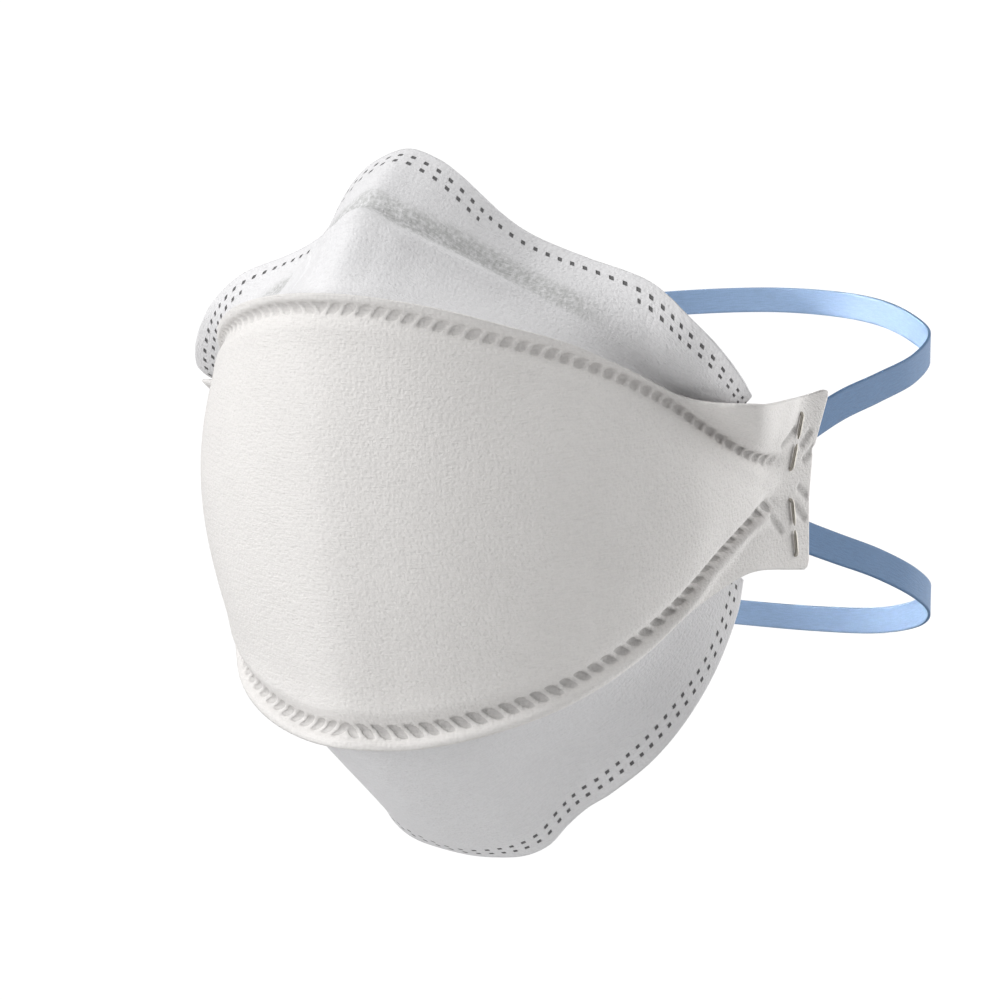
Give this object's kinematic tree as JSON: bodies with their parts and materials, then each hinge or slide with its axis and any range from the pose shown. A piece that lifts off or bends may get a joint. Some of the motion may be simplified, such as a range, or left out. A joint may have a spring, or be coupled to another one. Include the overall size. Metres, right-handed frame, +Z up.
{
  "type": "disposable respirator",
  "caption": "Three-panel folding respirator, opened to its worn shape, with side tabs, inner nose clip, two elastic head straps and stapled strap ends.",
  "frame": {"origin": "on the plane of symmetry between the two side tabs, where the wearer's face sits, level with the narrow middle of the tabs", "axes": "+X towards the wearer's left tab, the mask bulges towards -Y and the head goes in along -Y from behind, +Z up towards the nose"},
  "size_m": [0.128, 0.2051, 0.1414],
  "materials": {
    "centre_cloth": "soft white embossed nonwoven",
    "outer_cloth": "soft white fibrous nonwoven",
    "elastic": "matt blue elastic band",
    "nose_clip": "soft bendable strip",
    "staples": "plain round wire"
  },
  "bodies": {
    "root": {"front_panel": "centre_cloth", "top_panel": "outer_cloth", "bottom_panel": "outer_cloth", "nose_clip": "nose_clip", "upper_strap": "elastic", "lower_strap": "elastic", "upper_staple_left": "staples", "upper_staple_right": "staples", "lower_staple_left": "staples", "lower_staple_right": "staples"}
  },
  "joints": []
}
